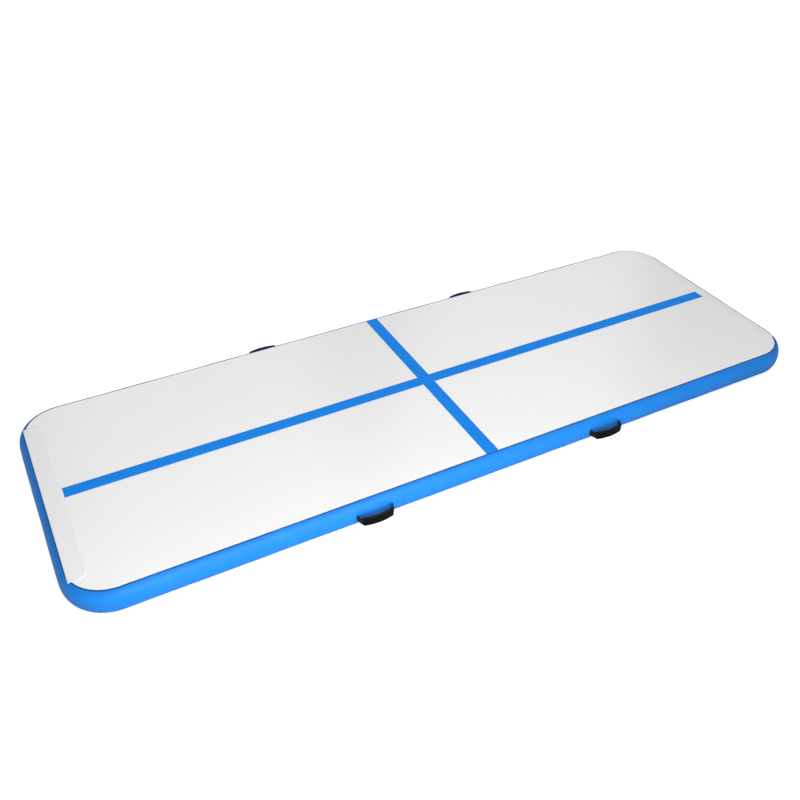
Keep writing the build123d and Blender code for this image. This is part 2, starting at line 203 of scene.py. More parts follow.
def shaded(name, colour, roughness, blotch=0.04, blotch_scale=3.0, grain=900.0, grain_height=0.02 * MM,
           weave=None, weave_height=0.05 * MM, coat=0.0, metallic=0.0, sheen=0.0, specular=0.5, tint=None):
    """A material with soft blotches of colour, uneven roughness, a fine grain and, if asked, a weave."""
    made = bpy.data.materials.new(name)
    made.use_nodes = True
    tree = made.node_tree
    skin = tree.nodes["Principled BSDF"]
    place = tree.nodes.new("ShaderNodeTexCoord").outputs["Object"]

    wide = noise(tree, place, blotch_scale)
    narrow = noise(tree, place, blotch_scale * FINE_BLOTCH, detail=6.0)
    wide_part = join(tree, "MULTIPLY", wide, WIDE_SHARE)
    narrow_part = join(tree, "MULTIPLY", narrow, 1 - WIDE_SHARE)
    mottle = join(tree, "ADD", wide_part, narrow_part)
    shade = node(tree, "ShaderNodeMix")
    shade.data_type = "RGBA"
    dark = [max(0.0, c * (1 - 2 * blotch)) for c in colour]
    light = [min(1.0, c * (1 + 2 * blotch)) for c in (tint or colour)]
    shade.inputs["A"].default_value = (*dark, 1)
    shade.inputs["B"].default_value = (*light, 1)
    tree.links.new(remap(tree, mottle, 0.0, 1.0), shade.inputs["Factor"])
    tree.links.new(shade.outputs["Result"], skin.inputs["Base Color"])

    low, high = roughness * (1 - ROUGHNESS_SWING), roughness * (1 + ROUGHNESS_SWING)
    tree.links.new(remap(tree, narrow, low, high), skin.inputs["Roughness"])
    height = join(tree, "MULTIPLY", noise(tree, place, grain), grain_height)
    if weave:
        across = threads(tree, place, weave[0], weave[2])
        along = threads(tree, place, weave[1], weave[2])
        crossed = join(tree, "MAXIMUM", across, along)
        height = join(tree, "ADD", height, join(tree, "MULTIPLY", crossed, weave_height))
    bump = node(tree, "ShaderNodeBump", Strength=1.0, Distance=1.0)
    tree.links.new(height, bump.inputs["Height"])
    tree.links.new(bump.outputs["Normal"], skin.inputs["Normal"])
    skin.inputs["Coat Weight"].default_value = coat
    skin.inputs["Metallic"].default_value = metallic
    skin.inputs["Sheen Weight"].default_value = sheen
    skin.inputs["Specular IOR Level"].default_value = specular
    return made


def paint_seam_shade(material):
    """Paints shade on the wall towards the sheet's edge, standing in for the sheet's own shadow: darker
    colour and weaker gloss.
    """
    tree = material.node_tree
    skin = tree.nodes["Principled BSDF"]
    split = tree.nodes.new("ShaderNodeSeparateXYZ")
    tree.links.new(tree.nodes.new("ShaderNodeTexCoord").outputs["Object"], split.inputs["Vector"])
    line = node(tree, "ShaderNodeMapRange", From_Min=SEAM_LINE_START, From_Max=SEAM_LINE_END, To_Min=1.0,
                To_Max=1 - SEAM_LINE_DEPTH)
    fade = node(tree, "ShaderNodeMapRange", From_Min=SEAM_FADE_START, From_Max=SEAM_LINE_END, To_Min=1.0,
                To_Max=1 - SEAM_FADE_DEPTH)
    for ramp in (line, fade):
        ramp.interpolation_type = "SMOOTHSTEP"
        tree.links.new(split.outputs["Z"], ramp.inputs["Value"])
    share = join(tree, "MULTIPLY", line.outputs["Result"], fade.outputs["Result"])
    colour = skin.inputs["Base Color"].links[0].from_socket
    darker = tree.nodes.new("ShaderNodeVectorMath")
    darker.operation = "SCALE"
    tree.links.new(colour, darker.inputs[0])
    tree.links.new(share, darker.inputs["Scale"])
    tree.links.new(darker.outputs["Vector"], skin.inputs["Base Color"])
    gloss = skin.inputs["Specular IOR Level"].default_value
    tree.links.new(join(tree, "MULTIPLY", share, gloss), skin.inputs["Specular IOR Level"])


def wall_blue(name):
    """The wall's blue vinyl."""
    return shaded(name, (0.004, 0.226, 0.76), 0.42, blotch=0.03, blotch_scale=5.0, tint=(0.018, 0.25, 0.84),
                  grain_height=0.02 * MM, specular=0.3)


white_vinyl = shaded("white_vinyl", (0.80, 0.80, 0.80), 0.22, blotch=0.012, weave=("X", "Y", 1.4 * MM),
                     weave_height=0.004 * MM, grain_height=0.006 * MM)
strip_vinyl = shaded("strip_vinyl", (0.775, 0.775, 0.785), 0.3, blotch=0.012, weave=("X", "Y", 1.4 * MM),
                     weave_height=0.006 * MM)
blue_vinyl = wall_blue("blue_vinyl")
wall_vinyl = wall_blue("wall_vinyl")
# Painted shade on the wall's top, along the sheet's edge
paint_seam_shade(wall_vinyl)
stripe_vinyl = shaded("stripe_vinyl", (0.003, 0.22, 0.77), 0.6, blotch=0.02, weave=("X", "Y", 1.4 * MM),
                      weave_height=0.012 * MM, specular=0.12)
liner_vinyl = shaded("liner_vinyl", (0.25, 0.27, 0.30), 0.6)
grip_rubber = shaded("grip_rubber", (0.0015, 0.002, 0.004), 0.4, blotch=0.1, blotch_scale=30.0,
                     grain=1500.0, specular=0.16)
webbing = shaded("webbing", (0.003, 0.003, 0.004), 0.75, blotch=0.1, blotch_scale=60.0, sheen=0.1,
                 specular=0.2, weave=("X", "Z", 1.6 * MM), weave_height=0.25 * MM)
valve_plastic = shaded("valve_plastic", (0.045, 0.047, 0.05), 0.4, blotch=0.06, blotch_scale=40.0)
seal_rubber = shaded("seal_rubber", (0.02, 0.02, 0.02), 0.65, blotch=0.1, blotch_scale=60.0)
tether_rubber = shaded("tether_rubber", (0.03, 0.03, 0.033), 0.5, blotch=0.1, blotch_scale=60.0)
thread_fabric = shaded("thread_fabric", (0.8, 0.8, 0.76), 0.8, weave=("X", "Z", 0.6 * MM))
spring_steel = shaded("spring_steel", (0.6, 0.6, 0.6), 0.3, metallic=1.0, blotch_scale=80.0)


# ---------------------------------------------------------------- mesh building
def build(name, points, faces, material, smooth=True):
    """A mesh object with welded points and outward normals."""
    mesh = bpy.data.meshes.new(name)
    mesh.from_pydata([tuple(p) for p in points], [], faces)
    welded = bmesh.new()
    welded.from_mesh(mesh)
    bmesh.ops.remove_doubles(welded, verts=welded.verts, dist=WELD)
    bmesh.ops.dissolve_degenerate(welded, edges=welded.edges, dist=WELD)
    bmesh.ops.recalc_face_normals(welded, faces=welded.faces)
    welded.to_mesh(mesh)
    welded.free()
    mesh.materials.append(material)
    mesh.polygons.foreach_set("use_smooth", [smooth] * len(mesh.polygons))
    made = bpy.data.objects.new(name, mesh)
    bpy.context.scene.collection.objects.link(made)
    return made


def lattice(rows, columns, start=0, closed=True):
    """Quads between the neighbours of rows of points; closed joins each row's end to its start."""
    last = columns if closed else columns - 1
    return [
        (start + r * columns + c, start + r * columns + (c + 1) % columns,
         start + (r + 1) * columns + (c + 1) % columns, start + (r + 1) * columns + c)
        for r in range(rows - 1)
        for c in range(last)
    ]


def rounded_outline(length, width, radius, spacing):
    """Plan points round a rounded rectangle centred on the origin, evenly spaced on each stretch."""
    half_x, half_y = length / 2 - radius, width / 2 - radius
    points = []
    for turn in range(4):
        heading = turn * math.pi / 2
        along = (half_x, half_y)[turn % 2]
        out = (half_y, half_x)[turn % 2] + radius
        axis = Vector((math.cos(heading), math.sin(heading)))
        outward = Vector((axis.y, -axis.x))
        steps = max(2, round(2 * along / spacing))
        points += [axis * (-along + 2 * along * i / steps) + outward * out for i in range(steps)]
        steps = max(3, round(radius * math.pi / 2 / spacing))
        centre = axis * along + outward * (out - radius)
        for i in range(steps):
            angle = math.pi / 2 * i / steps
            points.append(centre + (outward * math.cos(angle) + axis * math.sin(angle)) * radius)
    return points


def middle_of(points):
    """For each outline point, the nearest point on the outline's middle line."""
    half_x = max(p.x for p in points)
    half_y = max(p.y for p in points)
    line_x, line_y = max(0, half_x - half_y), max(0, half_y - half_x)
    return [Vector((min(max(p.x, -line_x), line_x), min(max(p.y, -line_y), line_y))) for p in points]


def sheet_rings(outer, inner, shares):
    """Rings of plan points from one outline to another, at the shares of the way given."""
    return [[o.lerp(i, share) for o, i in zip(outer, inner)] for share in shares]


def thin_sheet(name, outer, inner, shares, place, thickness, material, hole=False):
    """A closed sheet laid by place(plan point, lift), with a softened outer rim.

    Its rings run from the outer outline to the inner one, which is a folded line or, with hole, a hole.
    """
    rings = sheet_rings(outer, inner, shares)
    top = [place(p, thickness * (1 if r else RIM_SHARE)) for r, ring in enumerate(rings) for p in ring]
    under = [place(p, 0) for ring in rings for p in ring]
    count, columns = len(rings), len(outer)
    faces = lattice(count, columns)
    faces += [f[::-1] for f in lattice(count, columns, start=len(top))]
    for ring in (0, count - 1) if hole else (0,):
        for c in range(columns):
            a, b = ring * columns + c, ring * columns + (c + 1) % columns
            faces.append((a, b, len(top) + b, len(top) + a))
    return build(name, top + under, faces, material)


def capped(rows, columns):
    """Faces of a tube made of rows of points, with both of its ends closed."""
    last = (rows - 1) * columns
    return lattice(rows, columns) + [tuple(range(columns)), tuple(last + i for i in range(columns))]


def joined(name, pieces):
    """Several pieces as one object."""
    target = pieces[0]
    with bpy.context.temp_override(
        active_object=target, selected_objects=pieces, selected_editable_objects=pieces
    ):
        bpy.ops.object.join()
    target.name = name
    target.data.name = name
    return target


def settle(piece, slot, body, *nodes):
    """Gives a piece its body and hides the CAD nodes that it stands for; its slot argument is not used."""
    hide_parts(*nodes)
    if body:
        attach(piece, body)
    return piece


# ---------------------------------------------------------------- skin of the mat
def edge_distance(x, y):
    """Distance outside the panel's outline, negative inside it."""
    dx, dy = abs(x) - STRAIGHT_X, abs(y) - STRAIGHT_Y
    beyond = math.hypot(max(dx, 0), max(dy, 0))
    return beyond + min(max(dx, dy), 0) - CORNER_RADIUS


def ease(value):
    """Smooth step from 0 to 1."""
    value = min(max(value, 0.0), 1.0)
    return value * value * (3 - 2 * value)


def relief(x, y):
    """Small soft unevenness of the stretched sheet, never above its nominal face."""
    along = math.sin(9.1 * x + 2.3 * math.sin(4.1 * y))
    across = math.sin(13.7 * y + 1.7 * math.sin(3.3 * x))
    return RELIEF * (along * across - 1) / 2


def skin(x, y):
    """Height of the mat's upper skin: the sheet, and past its edge the wall."""
    out = edge_distance(x, y)
    if out <= 0:
        return TOP + relief(x, y)
    over_seam = SHEET * math.exp(-out / STEP_FADE)
    return MID + (WALL_HALF_HEIGHT + over_seam) * math.sqrt(max(0.0, 1 - (out / BULGE) ** 2))


def edge_frame(along):
    """Place on the panel's edge and outward direction, going round from the front's left end."""
    side_lengths = (2 * STRAIGHT_X, 2 * STRAIGHT_Y) * 2
    along %= PERIMETER
    for turn, length in enumerate(side_lengths):
        heading = turn * math.pi / 2
        axis = Vector((math.cos(heading), math.sin(heading)))
        outward = Vector((axis.y, -axis.x))
        reach = (STRAIGHT_Y, STRAIGHT_X)[turn % 2]
        if along <= length:
            return axis * (along - length / 2) + outward * (reach + CORNER_RADIUS), outward
        along -= length
        if along <= QUARTER_TURN:
            angle = along / CORNER_RADIUS
            direction = outward * math.cos(angle) + axis * math.sin(angle)
            return axis * (length / 2) + outward * reach + direction * CORNER_RADIUS, direction
        along -= QUARTER_TURN
    return edge_frame(0)


FRONT_START = STRAIGHT_X
RIGHT_START = 2 * STRAIGHT_X + QUARTER_TURN + STRAIGHT_Y
BACK_START = 3 * STRAIGHT_X + 2 * STRAIGHT_Y + 2 * QUARTER_TURN


def wall_station(x, side):
    """Distance round the edge of a place on the front (side -1) or back (side 1)."""
    return FRONT_START + x if side < 0 else BACK_START - x


# ---------------------------------------------------------------- wall
def wall_rest():
    """Points of the wall's bulge, one column after another, each from its top to its bottom."""
    points = []
    for column in range(WALL_COLUMNS):
        place, outward = edge_frame(PERIMETER * column / WALL_COLUMNS)
        for row in range(WALL_ROWS + 1):
            angle = math.pi * (0.5 - row / WALL_ROWS)
            flat = place + outward * BULGE * math.cos(angle)
            points.append(Vector((flat.x, flat.y, MID + WALL_HALF_HEIGHT * math.sin(angle))))
    return points


def inflate(piece):
    """Cloth under air pressure, held along both seams; returns where the points settle."""
    held = piece.vertex_groups.new(name="seams")
    per_column = WALL_ROWS + 1
    for index in range(len(piece.data.vertices)):
        on_seam = index % per_column in (0, WALL_ROWS)
        held.add([index], 1.0 if on_seam else 0.0, "REPLACE")
    cloth = piece.modifiers.new("air", "CLOTH")
    settings = cloth.settings
    for setting, value in CLOTH.items():
        setattr(settings, setting, value)
    settings.vertex_group_mass = held.name
    settings.effector_weights.gravity = 0
    cloth.collision_settings.use_collision = False
    cloth.collision_settings.use_self_collision = False
    cloth.point_cache.frame_start = 1
    cloth.point_cache.frame_end = SIMULATION_FRAMES
    for step in range(1, SIMULATION_FRAMES + 1):
        bpy.context.scene.frame_set(step)
    settled = piece.evaluated_get(bpy.context.evaluated_depsgraph_get()).to_mesh()
    points = [v.co.copy() for v in settled.vertices]
    piece.modifiers.remove(cloth)
    piece.vertex_groups.remove(held)
    bpy.context.scene.frame_set(1)
    return points


def smoothed_round(grid, passes):
    """A grid of values averaged with its neighbours along and across the wall."""
    for _ in range(passes):
        grid = (np.roll(grid, 1, axis=0) + 2 * grid + np.roll(grid, -1, axis=0)) / 4
        grid[:, 1:-1] = (grid[:, :-2] + 2 * grid[:, 1:-1] + grid[:, 2:]) / 4
    return grid


def wall_normals():
    """Outward directions at the wall's points."""
    normals = []
    for column in range(WALL_COLUMNS):
        outward = edge_frame(PERIMETER * column / WALL_COLUMNS)[1]
        for row in range(WALL_ROWS + 1):
            angle = math.pi * (0.5 - row / WALL_ROWS)
            out, up = math.cos(angle) / BULGE, math.sin(angle) / WALL_HALF_HEIGHT
            normals.append(Vector((outward.x * out, outward.y * out, up)).normalized())
    return np.array([tuple(n) for n in normals]).reshape(WALL_COLUMNS, WALL_ROWS + 1, 3)


def puckers(rest, normals):
    """How far the simulated cloth stands out from its own mean section: its puckers, less near the valve."""
    columns = lattice(WALL_COLUMNS, WALL_ROWS + 1, closed=False)
    last = (WALL_COLUMNS - 1) * (WALL_ROWS + 1)
    columns += [(last + r, last + r + 1, r + 1, r) for r in range(WALL_ROWS)]
    mesh = bpy.data.meshes.new("wall_cloth")
    mesh.from_pydata([tuple(p) for p in rest.reshape(-1, 3)], [], columns)
    cloth = bpy.data.objects.new("wall_cloth", mesh)
    bpy.context.scene.collection.objects.link(cloth)
    settled = np.array([tuple(p) for p in inflate(cloth)]).reshape(rest.shape)
    bpy.data.objects.remove(cloth)
    height = ((settled - rest) * normals).sum(axis=2)
    height = smoothed_round(height - height.mean(axis=0), PUCKER_SMOOTHING) * PUCKER_SHARE
    from_valve = [abs(i * PERIMETER / WALL_COLUMNS - RIGHT_START) for i in range(WALL_COLUMNS)]
    calm = np.array([ease(distance / VALVE_CALM - 1) for distance in from_valve])
    return PUCKER_LIMIT * np.tanh(height / PUCKER_LIMIT) * calm[:, None]


rest = np.array([tuple(p) for p in wall_rest()]).reshape(WALL_COLUMNS, WALL_ROWS + 1, 3)
normals = wall_normals()
wall = rest.copy()
wall += normals * puckers(rest, normals)[:, :, None]


def wall_face(along, height):
    """Point on the settled wall, from distance round the edge and height above mid height."""
    column = (along % PERIMETER) / PERIMETER * WALL_COLUMNS
    share = min(max(height / WALL_HALF_HEIGHT, -1.0), 1.0)
    row = min((0.5 - math.asin(share) / math.pi) * WALL_ROWS, WALL_ROWS - 1e-6)
    c, r = int(column), int(row)
    fc, fr = column - c, row - r
    near, far = wall[c % WALL_COLUMNS], wall[(c + 1) % WALL_COLUMNS]
    upper = near[r] * (1 - fc) + far[r] * fc
    lower = near[r + 1] * (1 - fc) + far[r + 1] * fc
    return Vector(upper * (1 - fr) + lower * fr)


def wall_point(along, height, lift):
    """Point at a distance off the settled wall."""
    reach = 4 * MM
    across = wall_face(along + reach, height) - wall_face(along - reach, height)
    up = wall_face(along, height + reach) - wall_face(along, height - reach)
    return wall_face(along, height) + across.cross(up).normalized() * lift


def cut_port(piece):
    """Cuts the round hole for the valve through the right end of the wall."""
    points = []
    for x in (HALF_LENGTH - BULGE, HALF_LENGTH + 2 * BULGE):
        for i in range(ROUND_STEPS):
            turn = 2 * math.pi * i / ROUND_STEPS
            points.append(Vector((x, PORT_RADIUS * math.cos(turn), MID + PORT_RADIUS * math.sin(turn))))
    cutter = build("port_cutter", points, capped(2, ROUND_STEPS), wall_vinyl)
    hole = piece.modifiers.new("port", "BOOLEAN")
    hole.operation = "DIFFERENCE"
    hole.solver = "EXACT"
    hole.object = cutter
    graph = bpy.context.evaluated_depsgraph_get()
    graph.update()
    whole = bpy.data.meshes.new_from_object(piece.evaluated_get(graph))
    piece.modifiers.remove(hole)
    piece.data = whole
    bpy.data.objects.remove(cutter)


def make_wall():
    """The wall band as a closed skin with the thickness of its vinyl."""
    inner = rest - normals * WALL_THICKNESS
    points = [Vector(p) for p in wall.reshape(-1, 3)] + [Vector(p) for p in inner.reshape(-1, 3)]
    per_column = WALL_ROWS + 1
    count = WALL_COLUMNS * per_column
    faces = []
    for c in range(WALL_COLUMNS):
        a, b = c * per_column, (c + 1) % WALL_COLUMNS * per_column
        for r in range(WALL_ROWS):
            faces.append((a + r, a + r + 1, b + r + 1, b + r))
            faces.append((count + a + r, count + b + r, count + b + r + 1, count + a + r + 1))
        for r in (0, WALL_ROWS):
            faces.append((a + r, b + r, count + b + r, count + a + r))
    piece = build("mat_wall", points, faces, wall_vinyl)
    cut_port(piece)
    return settle(piece, "wall_vinyl", ROOT, "outer_wall_band")


# ---------------------------------------------------------------- sheets, stripes and strips
SHEET_SHARES = [0, 0.0006, 0.002, 0.01, 0.03, 0.06, 0.08, 0.1] + [0.1 + 0.9 * i / 18 for i in range(1, 19)]
SHEET_SPACING = 12 * MM
panel_outline = rounded_outline(2 * HALF_LENGTH, 2 * HALF_WIDTH, CORNER_RADIUS, SHEET_SPACING)


def panel_sheet(name, place, material):
    """One of the panel's two sheets."""
    return thin_sheet(name, panel_outline, middle_of(panel_outline), SHEET_SHARES, place, SHEET, material)


def make_top():
    """White top sheet."""
    def place(p, lift):
        return Vector((p.x, p.y, TOP - SHEET + lift + (relief(p.x, p.y) if lift else 0)))

    return settle(panel_sheet("mat_top", place, white_vinyl), "top_vinyl", ROOT, "top_sheet")


def make_bottom():
    """Blue underside."""
    def place(p, lift):
        return Vector((p.x, p.y, SHEET - lift - (relief(p.x, p.y) if lift else 0)))

    return settle(panel_sheet("mat_bottom", place, blue_vinyl), "wall_vinyl", ROOT, "bottom_sheet")


def on_skin(centre):
    """Lays plan points on the mat's upper skin."""
    def place(p, lift):
        x, y = p.x + centre.x, p.y + centre.y
        return Vector((x, y, skin(x, y) + lift))
    return place


STRIPE_SHARES = [0, 0.015, 0.35, 0.7, 1]
STRIPE_CORNER = 0.5 * MM
CENTRE_STRIPE_SPACING = 20 * MM
CROSS_STRIPE_SPACING = 10 * MM
STRIPE_OVER_EDGE = 1.2 * MM


def make_centre_stripe():
    """The stripe along the mat."""
    low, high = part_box("centre_stripe")
    centre = (low + high) / 2
    size = high - low
    outline = rounded_outline(size.x, size.y, STRIPE_CORNER, CENTRE_STRIPE_SPACING)
    piece = thin_sheet("centre_line", outline, middle_of(outline), STRIPE_SHARES, on_skin(centre), size.z,
                       stripe_vinyl)
    return settle(piece, "stripe_vinyl", ROOT, "centre_stripe")


def make_cross_stripe():
    """The two halves of the stripe across the mat, each turned down over the sheet's edge."""
    low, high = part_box("cross_stripe")
    inner_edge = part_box("centre_stripe")[1].y
    length = high.y + STRIPE_OVER_EDGE - inner_edge
    outline = rounded_outline(high.x - low.x, length, STRIPE_CORNER, CROSS_STRIPE_SPACING)
    halves = []
    for side in (-1, 1):
        centre = Vector((0, side * (inner_edge + length / 2), 0))
        halves.append(thin_sheet("half", outline, middle_of(outline), STRIPE_SHARES, on_skin(centre),
                                 high.z - low.z, stripe_vinyl))
    return settle(joined("cross_line", halves), "stripe_vinyl", ROOT, "cross_stripe")


STRIP_MITRE = 20 * MM
STRIP_CORNER = 0.6 * MM
STRIP_SPACING = 6 * MM
STRIP_SHARES = [0, 0.02, 0.2, 0.5, 0.8, 1]


def make_end_strip(end, node_name):
    """A white strip along one end, with its inner corners cut off."""
    low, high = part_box(node_name)
    centre = (low + high) / 2
    size = high - low
    outline = rounded_outline(size.x, size.y, STRIP_CORNER, STRIP_SPACING)
    inner_x = -end * size.x / 2
    for p in outline:
        past = STRIP_MITRE - (size.y / 2 - abs(p.y)) - abs(p.x - inner_x)
        if past > 0:
            p.x += end * past / 2
            p.y -= math.copysign(past / 2, p.y)
    piece = thin_sheet(node_name + "_cover", outline, middle_of(outline), STRIP_SHARES, on_skin(centre),
                       size.z, strip_vinyl)
    return settle(piece, "strip_vinyl", ROOT, node_name)


# ---------------------------------------------------------------- pieces glued on the wall
JOINT_RISE = 0.9
JOINT_CORNER = 0.8 * MM
JOINT_SPACING = 3 * MM
JOINT_SHARES = [0, 0.02, 0.3, 0.65, 1]


def make_joint():
    """The wall band's end, glued over its start: it fades in at its left and ends in a step."""
    low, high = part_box("wall_joint_overlap")
    length, height = high.x - low.x, high.z - low.z
    start = wall_station((low.x + high.x) / 2, -1)

    def place(p, lift):
        rise = ease((p.x + length / 2) / (length * JOINT_RISE))
        return wall_point(start + p.x, p.y, lift * rise - GLUE_SINK)

    outline = rounded_outline(length, height, JOINT_CORNER, JOINT_SPACING)
    piece = thin_sheet("wall_joint", outline, middle_of(outline), JOINT_SHARES, place, WALL_THICKNESS,
                       blue_vinyl)
    return settle(piece, "wall_vinyl", ROOT, "wall_joint_overlap")


VALVE_PATCH_UNDER_FLANGE = 6 * MM
VALVE_PATCH_THICKNESS = 1.0 * MM
VALVE_PATCH_SHARES = [0, 0.03, 0.35, 0.7, 1]


def make_valve_patch():
    """Round patch on the wall under the valve, with a hole that the valve's flange covers."""
    low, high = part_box("valve_patch")
    radius = (high.z - low.z) / 2
    flange_low, flange_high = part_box("valve_body")
    hole_radius = (flange_high.z - flange_low.z) / 2 - VALVE_PATCH_UNDER_FLANGE
    angles = [2 * math.pi * i / ROUND_STEPS for i in range(ROUND_STEPS)]
    turn = [Vector((math.cos(angle), math.sin(angle))) for angle in angles]

    def place(p, lift):
        return wall_point(RIGHT_START + p.x, p.y, lift - GLUE_SINK)

    piece = thin_sheet("valve_wall_patch", [t * radius for t in turn], [t * hole_radius for t in turn],
                       VALVE_PATCH_SHARES, place, VALVE_PATCH_THICKNESS, blue_vinyl, hole=True)
    return settle(piece, "wall_vinyl", ROOT, "valve_patch")


SPRING_TURNS = 5
SPRING_WIRE_RADIUS = 0.5 * MM
SPRING_TURN_STEPS = 48
SPRING_WIRE_SIDES = 12


def make_spring():
    """Coil under the valve's button, built at its rest length; the real coil shortens as the stem is pressed.
    """
    low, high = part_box("valve_spring")
    radius = (high.z - low.z) / 2 - SPRING_WIRE_RADIUS
    start = low.x + SPRING_WIRE_RADIUS
    reach = high.x - low.x - 2 * SPRING_WIRE_RADIUS
    steps = SPRING_TURNS * SPRING_TURN_STEPS
    points = []
    for i in range(steps + 1):
        turn = 2 * math.pi * SPRING_TURNS * i / steps
        outward = Vector((0, math.cos(turn), math.sin(turn)))
        centre = Vector((start + reach * i / steps, 0, MID)) + outward * radius
        for j in range(SPRING_WIRE_SIDES):
            angle = 2 * math.pi * j / SPRING_WIRE_SIDES
            side = outward * math.cos(angle) + Vector((math.sin(angle), 0, 0))
            points.append(centre + side * SPRING_WIRE_RADIUS)
    piece = build("valve_coil", points, capped(steps + 1, SPRING_WIRE_SIDES), spring_steel)
    settle(piece, "spring_steel", ROOT, "valve_spring")
    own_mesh(piece)
    return piece


# ---------------------------------------------------------------- handles
GRIP_SAG = 10 * MM
GRIP_THICKNESS = 13 * MM
GRIP_CORNER = 3.2 * MM
GRIP_END_ROUNDING = 10 * MM
GRIP_END_PINCH = 0.14
RIB_PITCH = 9.6 * MM
RIB_GROOVES = 11
RIB_GROOVE_SHARE = 0.34
RIB_DEPTH = 3.0 * MM
RIB_HALF_HEIGHT = 12.5 * MM
RIB_END = 2.2 * MM
GRIP_STEP = 1.0 * MM
STRAP_HALF_WIDTH = 12.5 * MM
STRAP_THICKNESS = 2.0 * MM
STRAP_STEPS_ACROSS = 10
STRAP_STEPS_ALONG = 8
STRAP_ROUNDING = 4 * MM
LONGEST_CUT = 0.45
SELVEDGE_SHARE = 0.45
FOOT = 69.5 * MM
KNEE = 63.2 * MM
TAB_END = 99 * MM
TAB_LIFT = 1.2 * MM

# The webbing follows the wall up to STUCK off its widest line, and is free FREE further out. BLEND_START and
# BLEND_END mark two places out from the wall, which make_strap works out but does not use.
STUCK = 2 * MM
FREE = 8 * MM
BLEND_START = 3 * MM
BLEND_END = 18 * MM

# Patches over the tabs, and where they rise from the wall onto a tab: by a slope past the tab's sides and
# end, and by a shorter one at the leg's foot
PATCH_CENTRE = 85 * MM
PATCH_LENGTH = 46 * MM
PATCH_HEIGHT = 50 * MM
PATCH_THICKNESS = 0.5 * MM
PATCH_CORNER = 8 * MM
PATCH_SPACING = 1.6 * MM
PATCH_SHARES = [0, 0.03] + [i / 16 for i in range(1, 17)]
PATCH_SLOPE = 3.5 * MM
PATCH_PAST_TAB = 3 * MM
PATCH_BEFORE_FOOT = 2 * MM
FOOT_SLOPE = 1.5 * MM
TAB_CLEARANCE = 0.15 * MM


class Handle:
    """Where one handle is, from its CAD grip: centre along the mat, side, reach and half length."""

    def __init__(self, name):
        self.name = name
        low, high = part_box(f"{name}_grip")
        self.x = (low.x + high.x) / 2
        self.side = 1 if low.y > 0 else -1
        self.reach = max(abs(low.y), abs(high.y)) - HALF_WIDTH - BULGE
        self.half_length = (high.x - low.x) / 2
        self.half_height = (high.z - low.z) / 2
        self.arc_radius = (self.half_length**2 + GRIP_SAG**2) / (2 * GRIP_SAG)

    def point(self, along, out, up):
        """Row-frame point, from distances along the wall, out from its widest line and up."""
        return Vector((self.x + along, self.side * (HALF_WIDTH + BULGE + out), MID + up))

    def arch(self, angle, depth):
        """Plan point on the grip's arch at an angle from its middle and a depth inside its outer face."""
        radius = self.arc_radius - depth
        return radius * math.sin(angle), self.reach - self.arc_radius + radius * math.cos(angle)

    def on_wall(self, along, up, lift):
        """Point off the settled wall, from distances along it and up."""
        station = wall_station(self.x, self.side)
        return wall_point(station - self.side * along, up, lift)


def grip_section(half_height):
    """Section of the grip: (in from the outer face, up) pairs, with more points where the ribs are."""
    half = GRIP_THICKNESS / 2
    flat_steps = 12
    corner_steps = 5
    points = []
    for quarter in range(4):
        sign_in = (-1, -1, 1, 1)[quarter]
        sign_up = (-1, 1, 1, -1)[quarter]
        for i in range(corner_steps + 1):
            angle = math.pi / 2 * i / corner_steps
            turn_in, turn_up = math.sin(angle), math.cos(angle)
            if quarter % 2:
                turn_in, turn_up = turn_up, turn_in
            points.append((half + sign_in * (half - GRIP_CORNER + GRIP_CORNER * turn_in),
                           sign_up * (half_height - GRIP_CORNER + GRIP_CORNER * turn_up)))
        if quarter % 2 == 0:
            end_up = -sign_up * (half_height - GRIP_CORNER)
            start_in, start_up = points[-1]
            for i in range(1, flat_steps):
                points.append((start_in, start_up + (end_up - start_up) * i / flat_steps))
    return points


def rib_groove(arc, up):
    """Depth of the grooves between the ribs, at a place on the outer face."""
    if abs(arc) > RIB_PITCH * RIB_GROOVES / 2:
        return 0.0
    phase = (arc / RIB_PITCH) % 1.0
    nearness = 1 - min(phase, 1 - phase) / RIB_GROOVE_SHARE
    return RIB_DEPTH * ease(nearness) * ease((RIB_HALF_HEIGHT - abs(up)) / RIB_END)


def make_grip(handle):
    """Moulded grip: an arched bar with ribs on its outer face and rounded shoulders."""
    section = grip_section(handle.half_height)
    span = math.asin(handle.half_length / handle.arc_radius)
    stations = round(2 * handle.half_length / GRIP_STEP)
    points = []
    for s in range(stations + 1):
        angle = -span + 2 * span * s / stations
        arc = angle * handle.arc_radius
        to_end = (span - abs(angle)) * handle.arc_radius
        shoulder = 1 - math.sqrt(max(0.0, 1 - (1 - min(to_end / GRIP_END_ROUNDING, 1)) ** 2))
        taper = 1 - shoulder * GRIP_END_ROUNDING / GRIP_THICKNESS
        for depth, up in section:
            deep = depth + (rib_groove(arc, up) if depth < GRIP_CORNER / 2 else 0)
            along, out = handle.arch(angle, GRIP_THICKNESS - (GRIP_THICKNESS - deep) * taper)
            points.append(handle.point(along, out, up * (1 - GRIP_END_PINCH * shoulder)))
    faces = capped(stations + 1, len(section))
    piece = build(f"{handle.name}_moulded_grip", points, faces, grip_rubber)
    soften(piece)
    return settle(piece, "grip_rubber", f"{handle.name}_handle", f"{handle.name}_grip")


def soften(piece, degrees=50):
    """Smooth shading that keeps edges sharper than an angle."""
    piece.data.set_sharp_from_angle(angle=math.radians(degrees))


